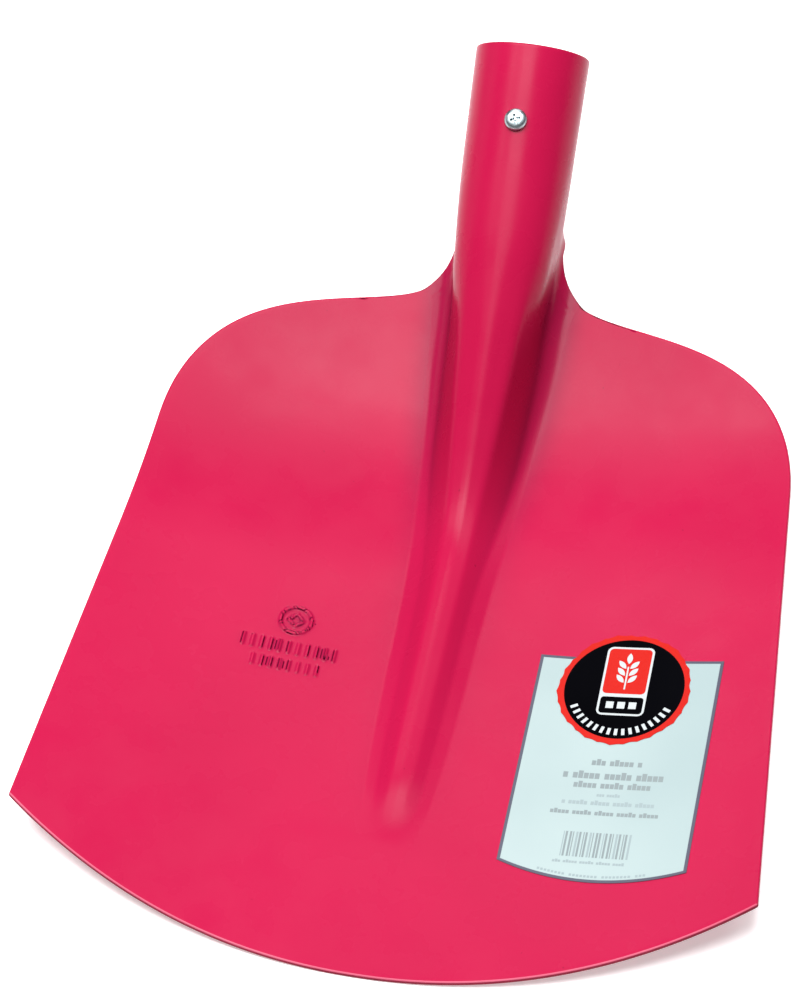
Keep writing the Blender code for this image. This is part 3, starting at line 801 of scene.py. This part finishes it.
def screw_rows():
    """(height, radius, thread depth) of the screw, from its tip to the crown of its head.

    HEAD_SINK leaves the head's underside clear of the conical socket on its uphill side.
    """
    rows = []
    for height in np.arange(SCREW_TIP, THREAD_TOP, THREAD_STEP):
        taper = float(np.clip((height + SCREW_LENGTH) / SCREW_TAPER, SCREW_TIP_SHARE, 1.0))
        thread = THREAD_DEPTH * min(1.0, THREAD_AT_TIP + taper)
        rows.append((float(height), SCREW_CORE * taper, thread))
    seat, top = SCREW_SEAT_GAP - HEAD_SINK, SCREW_SEAT_GAP + SCREW_HEAD_HEIGHT
    rim = SCREW_HEAD_RADIUS
    head = [(HEAD_NECK_LOW, HEAD_NECK_RADII[0]), (seat, HEAD_NECK_RADII[1])]
    head += [(seat + rise, rim - inset) for rise, inset in HEAD_RIM]
    for k in range(1, HEAD_CROWN_STEPS):
        turn = 0.5 * math.pi * k / HEAD_CROWN_STEPS
        rise = HEAD_CROWN_RISE + (top - seat - HEAD_CROWN_RISE) * math.sin(turn)
        head.append((seat + rise, rim * math.cos(turn) ** HEAD_CROWN_POWER))
    return rows + [(height, radius, 0.0) for height, radius in head]


def build_screw():
    """Pan-head tapping screw with a real thread and a cross recess."""
    rows, segments = screw_rows(), SCREW_SEGMENTS
    top = SCREW_SEAT_GAP + SCREW_HEAD_HEIGHT
    turn = 2.0 * math.pi * np.arange(segments) / segments
    rings = []
    for height, radius, thread in rows:
        phase = (height / THREAD_PITCH - turn / (2.0 * math.pi)) % 1.0
        ridge = np.clip(1.0 - np.abs(phase - 0.5) / THREAD_HALF_SHARE, 0.0, 1.0)
        reach = radius + thread * ridge
        ring = [reach * np.cos(turn), reach * np.sin(turn), np.full(segments, height)]
        rings.append(np.stack(ring, -1))
    ends = [[0.0, 0.0, rows[0][0] - SCREW_POINT], [0.0, 0.0, top]]
    points = np.concatenate(rings + [ends])
    count = len(rows) * segments
    last = count - segments
    faces = quads(len(rows), segments, closed=True)
    faces += [[k, (k + 1) % segments, count] for k in range(segments)]
    faces += [[last + k, last + (k + 1) % segments, count + 1] for k in range(segments)]

    basis = np.array(screw_matrix().to_3x3())
    seat = socket_point(0.0, SCREW_STATION)
    screw = piece("pan_head_screw", seat + points @ basis.T, faces, [ZINC], body="screw")
    for arm in (0.0, 0.5 * math.pi):
        bm = bmesh.new()
        corners = bmesh.ops.create_cube(bm, size=1.0)["verts"]
        for corner in corners:
            deep = corner.co.z < 0.0
            corner.co.x *= RECESS_LENGTHS[deep]
            corner.co.y *= RECESS_WIDTHS[deep]
            corner.co.z = top + (-RECESS_DEPTH if deep else RECESS_OVER)
        turned = Matrix.Rotation(RECESS_TURN + arm, 3, "Z")
        bmesh.ops.rotate(bm, verts=corners, matrix=turned)
        bmesh.ops.scale(bm, verts=corners, vec=(MM, MM, MM))
        cut(screw, as_tool("recess", bm))
    return screw


# ---------------------------------------------------------------- stickers

def sticker(name, centre, rings, closed, lifts, skins, pick):
    """A thin sheet on the blade from rows of flat points, coloured face by face."""
    rows, columns = rings.shape[:2]
    count = rows * columns
    flat = rings.reshape(-1, 2)
    layers = [on_blade(centre[0] + flat[:, 0], centre[1] + flat[:, 1], lift) for lift in lifts]
    faces = quads(rows, columns, closed) + quads(rows, columns, closed, start=count)
    index = np.arange(count).reshape(rows, columns)
    if closed:
        faces += [list(range(columns)), list(range(count, count + columns))]
    faces += walls(index[-1] if closed else border(index), count)
    thing = piece(name, np.concatenate(layers), faces, skins, smooth_faces=False)
    for face in thing.data.polygons:
        spots = [v % count for v in face.vertices]
        face.material_index = pick(flat[spots].mean(0))
    return thing


def label_outline(side, along):
    """Flat point of the label: side from -1 to 1 and along from 0 at its bowed foot to 1."""
    foot = -0.5 * LABEL_SIZE[1] - LABEL_BOW * (1.0 - side ** 2)
    return np.stack([0.5 * LABEL_SIZE[0] * side, foot + (0.5 * LABEL_SIZE[1] - foot) * along], -1)


def build_label():
    """The pale label with its dark border and bowed foot."""
    inset = 2.0 * LABEL_BORDER / LABEL_SIZE[0] - 1.0
    side = np.concatenate([[-1.0], np.linspace(inset, -inset, LABEL_ACROSS), [1.0]])
    edge = LABEL_BORDER / (LABEL_SIZE[1] + 0.6 * LABEL_BOW)
    along = np.concatenate([[0.0], np.linspace(edge, 1.0 - edge, LABEL_ALONG), [1.0]])
    grid = label_outline(*np.meshgrid(side, along, indexing="xy"))

    def pick(spot):
        half = 0.5 * LABEL_SIZE[0]
        foot = label_outline(spot[0] / half, 0.0)[1]
        rim = min(half - abs(spot[0]), spot[1] - foot, 0.5 * LABEL_SIZE[1] - spot[1])
        return 1 if rim < LABEL_BORDER else 0

    return sticker("label_sheet", LABEL, grid, False, (-LABEL_LIFT, LABEL_LIFT), [PALE, BORDER], pick)


def build_seal():
    """The round sticker: a black field inside an uneven scalloped red rim."""
    turns = 2.0 * math.pi * np.arange(SEAL_POINTS) / SEAL_POINTS
    tooth = SEAL_TOOTH * np.abs(np.sin(0.5 * SEAL_TEETH * turns))
    for depth, waves, shift in SEAL_WAVES:
        tooth = tooth + depth * np.sin(waves * turns + shift)
    rings = [np.full(SEAL_POINTS, r) for r in (*SEAL_FIELD_RINGS, SEAL_FIELD, SEAL_BAND)]
    radius = np.stack(rings + [SEAL_RADIUS + SEAL_TOOTH_TOP - tooth])
    grid = np.stack([radius * np.cos(turns), radius * np.sin(turns)], -1)

    def pick(spot):
        return 1 if math.hypot(*spot) > SEAL_FIELD else 0

    return sticker("seal_sheet", SEAL, grid, True, (SEAL_UNDER, SEAL_LIFT), [BLACK, ORANGE], pick)


def bar(x0, y0, x1, y1):
    """Flat grid of an upright block."""
    across, up = (np.linspace(a, b, max(2, int(abs(b - a) / BAR_CELL) + 2))
                  for a, b in ((x0, x1), (y0, y1)))
    return np.stack(np.meshgrid(across, up), -1)


def lozenge(x, y, length, width, turn):
    """Flat grid of a pointed oval, like a grain."""
    along = np.linspace(-1.0, 1.0, LOZENGE_STEPS)
    half = 0.5 * width * (1.0 - LOZENGE_POINT * along ** 2)
    u = np.stack([0.5 * length * along] * 2)
    v = np.stack([-half, half])
    across = x + u * math.cos(turn) - v * math.sin(turn)
    up = y + u * math.sin(turn) + v * math.cos(turn)
    return np.stack([across, up], -1)


def rounded_block(x, y, half_width, half_height, corner):
    """Flat grid of a block with round corners, as stacked chords."""
    bend = np.linspace(0.0, 0.5 * math.pi, CORNER_STEPS)
    inset = corner * (1.0 - np.sin(bend))
    rise = corner * (1.0 - np.cos(bend))
    middle = np.linspace(-half_height + corner, half_height - corner, BLOCK_ROWS)[1:-1]
    height = np.concatenate([-half_height + rise, middle, (half_height - rise)[::-1]])
    width = half_width - np.concatenate([inset, 0.0 * middle, inset[::-1]])
    share = np.linspace(-1.0, 1.0, BLOCK_COLUMNS)
    return np.stack([x + width[:, None] * share, y + height[:, None] + 0.0 * share], -1)


def dash(radius, turn, length, width):
    """Flat grid of a short block standing on a circle."""
    out = np.array([math.cos(turn), math.sin(turn)])
    round_it = np.array([-math.sin(turn), math.cos(turn)])
    return np.array([[radius * out + u * round_it + v * out for u in (-0.5 * width, 0.5 * width)]
                     for v in (-0.5 * length, 0.5 * length)])


def words(x0, x1, y, height, block, seed):
    """A line of plain blocks, some tall, with gaps like words; it spells nothing."""
    made, x, k = [], x0, seed
    while x + block < x1:
        k += 1
        if (k * 7 + seed) % 6 == 0:
            x += WORD_GAP * block
            continue
        tall = height * (1.0 if (k * 5 + seed) % 4 == 0 else LOW_LETTER)
        made.append(bar(x, y - 0.5 * height, x + block, y - 0.5 * height + tall))
        x += LETTER_PITCH * block
    return made


def ink(name, centre, lift, prints):
    """Flat grids printed on a sticker, each with its own ink."""
    skins, points, faces, inks, start = [], [], [], [], 0
    for grid, skin in prints:
        if skin not in skins:
            skins.append(skin)
        rows, columns = grid.shape[:2]
        count = rows * columns
        flat = grid.reshape(-1, 2)
        for level in (lift - INK_SINK, lift + INK_RISE):
            points.append(on_blade(centre[0] + flat[:, 0], centre[1] + flat[:, 1], level))
        new = quads(rows, columns, start=start) + quads(rows, columns, start=start + count)
        new += walls(border(np.arange(count).reshape(rows, columns) + start), count)
        faces += new
        inks += [skins.index(skin)] * len(new)
        start += 2 * count
    thing = piece(name, np.concatenate(points), faces, skins, smooth_faces=False)
    thing.data.polygons.foreach_set("material_index", inks)
    return thing


# (left, right, middle height, letter height, letter width, seed, ink) of the label's lines
LABEL_LINES = (
    (-6.8, 11.2, -0.6, 2.6, 1.45, 1, GREY),
    (-15.9, 20.2, -6.0, 3.1, 1.65, 2, GREY),
    (-11.6, 16.2, -10.0, 2.6, 1.4, 3, GREY),
    (-2.9, 6.4, -14.0, 1.4, 0.8, 4, FAINT),
    (-14.5, 18.3, -17.3, 1.9, 1.15, 5, FAINT),
    (-17.8, 21.0, -21.4, 1.9, 1.15, 9, GREY),
    (-13.6, 11.6, -41.4, 1.2, 0.85, 7, FAINT))


def label_prints():
    """Lines of blocks, upright bars that encode nothing, and a row of marks along the foot."""
    made = []
    for *line, skin in LABEL_LINES:
        made += [(grid, skin) for grid in words(*line)]
    x, k = BARS_FROM, 0
    while x < BARS_TO:
        wide = BAR_UNIT * (1 + (k * k + 3 * k) % 3)
        made.append((bar(x, BARS_LOW, x + wide, BARS_HIGH), GREY if k % 4 else FAINT))
        x += wide + BAR_UNIT * (1 + (k * 5) % 2)
        k += 1
    for k in range(FOOT_MARKS):
        x = FOOT_MARK_FROM + FOOT_MARK_PITCH * k
        if k % 9 != 8:
            y = label_outline(2.0 * x / LABEL_SIZE[0], 0.0)[1] + FOOT_MARK_UP
            made.append((bar(x, y - FOOT_MARK_RISE, x + FOOT_MARK_WIDTH, y + FOOT_MARK_RISE), FAINT))
    return made


def seal_prints():
    """An arc of dashes along the seal's foot, and the white block behind the panels."""
    made = []
    for k in range(DASHES):
        turn = math.radians(DASH_START + DASH_SWEEP * k / (DASHES - 1))
        made.append((dash(DASH_RADIUS, turn, DASH_LENGTH, DASH_WIDTH), WHITE))
    made.append((rounded_block(0.0, 3.3, 8.4, 14.6, 2.2), WHITE))
    return made


def panel_prints():
    """A red panel and a black banner on the white block."""
    return [(rounded_block(0.0, 7.5, 7.6, 9.6, 1.6), ORANGE),
            (rounded_block(0.0, -7.0, 7.6, 3.5, 1.2), BLACK)]


def emblem_prints():
    """A plain ear of grain on the panel and three plain blocks on the banner."""
    upright = 0.5 * math.pi
    made = [(bar(-0.28, -0.2, 0.28, 9.5), WHITE), (lozenge(0.0, 13.0, 4.6, 2.0, upright), WHITE)]
    for k in range(3):
        for side in (-1.0, 1.0):
            grain = lozenge(2.15 * side, 4.3 + 3.0 * k, 4.4, 1.9, upright - GRAIN_LEAN * side)
            made.append((grain, WHITE))
    made += [(bar(x - 1.35, -8.4, x + 1.35, -5.6), WHITE) for x in (-4.0, 0.0, 4.0)]
    return made


# ---------------------------------------------------------------- building the pieces

sheet = build_sheet()
coat(sheet)
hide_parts("blade_and_socket")

weld = build_weld()
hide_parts("socket_seam_weld")

screw = build_screw()
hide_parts("handle_screw")

label = build_label()
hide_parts("product_label")
seal = build_seal()
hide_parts("quality_seal")
for name, centre, lift, prints, slot in (
        ("label_print", LABEL, LABEL_LIFT, label_prints(), "label_paper"),
        ("seal_print", SEAL, SEAL_LIFT, seal_prints(), "seal_print"),
        ("seal_panels", SEAL, PANEL_LIFT, panel_prints(), "seal_print"),
        ("seal_emblem", SEAL, EMBLEM_LIFT, emblem_prints(), "seal_print")):
    ink(name, centre, lift, prints)


# ---------------------------------------------------------------- floor, light and camera

FLOOR_HALF = 15.0
LIGHT_AIM = (0.0, 0.0, 0.05)
WORLD_COLOUR, WORLD_STRENGTH = (0.85, 0.92, 1.0), 0.08

# (name, place, size, watts) of the soft boxes
LIGHTS = (
    ("key", (0.0, -0.17, 1.35), (0.6, 0.75), 22.5),
    ("key_left", (-0.6, -0.10, 1.35), (0.6, 0.55), 14.0),
    ("top_back", (-0.25, 1.05, 1.35), (1.2, 0.55), 12.0),
    ("top_right", (0.5, 0.2, 1.35), (0.6, 0.8), 5.0),
    ("back", (0.0, 1.30, 0.50), (0.9, 0.3), 8.0),
    ("side", (-1.30, 0.10, 0.35), (0.3, 0.9), 1.5))

CAMERA_PLACE = (0.1868, -0.7668, 1.0442)
CAMERA_LOOK = (-0.1604, 0.5966, -0.7864)
CAMERA_UP = (-0.1297, 0.777, 0.6159)
CAMERA_LENS, CAMERA_SENSOR = 130.65, 36.0


def build_floor():
    half = FLOOR_HALF
    mesh = bpy.data.meshes.new("studio_floor")
    corners = [(-half, -half, 0), (half, -half, 0), (half, half, 0), (-half, half, 0)]
    mesh.from_pydata(corners, [], [(0, 1, 2, 3)])
    mesh.materials.append(floor_card("pale_card"))
    floor = bpy.data.objects.new("studio_floor", mesh)
    bpy.context.scene.collection.objects.link(floor)


def soft_light(name, place, size, power):
    """A rectangular soft box aimed at the shovel."""
    data = bpy.data.lights.new(name, "AREA")
    data.shape = "RECTANGLE"
    data.size, data.size_y = size
    data.energy = power
    light = bpy.data.objects.new(name, data)
    light.location = place
    light.rotation_euler = (Vector(LIGHT_AIM) - Vector(place)).to_track_quat("-Z", "Y").to_euler()
    bpy.context.scene.collection.objects.link(light)


def build_world():
    world = bpy.data.worlds.new("studio")
    world.use_nodes = True
    background = world.node_tree.nodes["Background"]
    background.inputs["Color"].default_value = (*WORLD_COLOUR, 1.0)
    background.inputs["Strength"].default_value = WORLD_STRENGTH
    bpy.context.scene.world = world


def build_camera():
    data = bpy.data.cameras.new("camera")
    data.lens = CAMERA_LENS
    data.sensor_width = CAMERA_SENSOR
    data.sensor_fit = "AUTO"
    camera = bpy.data.objects.new("camera", data)
    back = -Vector(CAMERA_LOOK).normalized()
    right = Vector(CAMERA_UP).cross(back).normalized()
    up = back.cross(right)
    turned = Matrix((right, up, back)).transposed().to_4x4()
    camera.matrix_world = Matrix.Translation(CAMERA_PLACE) @ turned
    bpy.context.scene.collection.objects.link(camera)
    bpy.context.scene.camera = camera


build_floor()
for light in LIGHTS:
    soft_light(*light)
build_world()
build_camera()
bpy.context.scene.view_settings.view_transform = "Standard"
